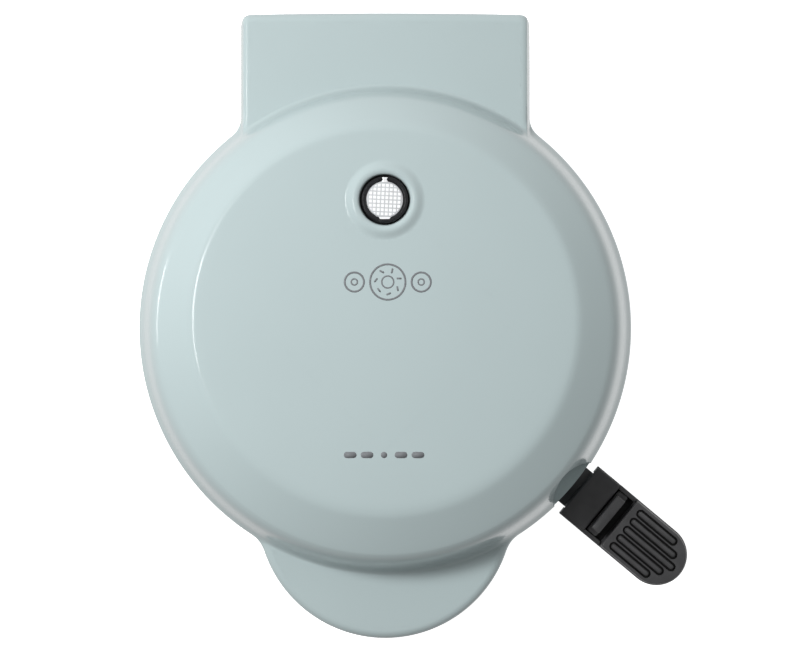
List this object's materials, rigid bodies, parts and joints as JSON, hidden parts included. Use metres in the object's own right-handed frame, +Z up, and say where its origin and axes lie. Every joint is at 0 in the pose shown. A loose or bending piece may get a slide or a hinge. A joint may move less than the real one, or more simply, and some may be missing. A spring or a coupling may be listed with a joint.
{
  "type": "mini donut maker",
  "caption": "Round electric mini ring-cake maker with a hinged glossy lid, ring-cavity plates, lamp window, front tongue handle and side latch.",
  "frame": {"origin": "middle of the bounding box, on the surface the feet stand on", "axes": "+Z up, +Y towards the hinge, +X to the right seen from the front handle"},
  "size_m": [0.2312, 0.261, 0.098],
  "materials": {
    "gloss_shell": "glossy pale mint",
    "satin_frame": "satin mint",
    "nonstick_coating": "dark non-stick coating on die-cast aluminium",
    "aluminised_steel": "bright rolled sheet",
    "steel": "zinc plated",
    "rubber_foot": "matte",
    "ceramic": "unglazed",
    "clear_lens": "clear, grid moulded inside",
    "lamp_glass": "small neon lamp",
    "wire_sleeve": "glass-fibre sleeve",
    "latch_plastic": "satin black, fine moulded grain",
    "black_plastic": "satin black"
  },
  "bodies": {
    "base": {"base_frame_screw_1": "steel", "base_frame_screw_2": "steel", "base_frame_screw_3": "steel", "base_frame_screw_4": "steel", "bottom_cover": "black_plastic", "cord_gland": "black_plastic", "cover_screw_1": "steel", "cover_screw_2": "steel", "cover_screw_3": "steel", "cover_screw_4": "steel", "foot_front_left": "rubber_foot", "foot_front_right": "rubber_foot", "foot_rear_left": "rubber_foot", "foot_rear_right": "rubber_foot", "hinge_pin_left": "steel", "hinge_pin_right": "steel", "latch_bracket": "latch_plastic", "latch_pin": "steel", "latch_screw": "steel", "live_lead": "wire_sleeve", "lower_frame": "satin_frame", "lower_heating_element": "steel", "lower_plate": "nonstick_coating", "lower_plate_clip_1": "aluminised_steel", "lower_plate_clip_2": "aluminised_steel", "lower_plate_clip_3": "aluminised_steel", "lower_reflector": "aluminised_steel", "lower_shell": "gloss_shell", "neutral_lead": "wire_sleeve", "terminal_block": "ceramic", "thermal_fuse": "ceramic", "thermostat": "ceramic", "thermostat_lead": "wire_sleeve"},
    "lid": {"indicator_bezel": "black_plastic", "indicator_lens": "clear_lens", "lamp_holder": "black_plastic", "lamp_lead": "wire_sleeve", "lid_frame_screw_1": "steel", "lid_frame_screw_2": "steel", "lid_frame_screw_3": "steel", "lid_frame_screw_4": "steel", "lid_live_lead": "wire_sleeve", "lid_neutral_lead": "wire_sleeve", "power_lamp": "lamp_glass", "ready_lamp": "lamp_glass", "upper_frame": "satin_frame", "upper_heating_element": "steel", "upper_plate": "nonstick_coating", "upper_plate_clip_1": "aluminised_steel", "upper_plate_clip_2": "aluminised_steel", "upper_plate_clip_3": "aluminised_steel", "upper_reflector": "aluminised_steel", "upper_shell": "gloss_shell"},
    "latch": {"latch_lever": "latch_plastic"}
  },
  "joints": [
    {"name": "lid_hinge", "type": "hinge", "parent": "base", "child": "lid", "pos_m": [-0.01265, 0.11525, 0.058], "axis": [-1, 0, 0], "range_deg": [0, 95]},
    {"name": "latch_hinge", "type": "hinge", "parent": "base", "child": "latch", "pos_m": [0.0712, -0.07086, 0.046], "axis": [-0.6414, -0.7672, 0], "range_deg": [0, 80]}
  ]
}
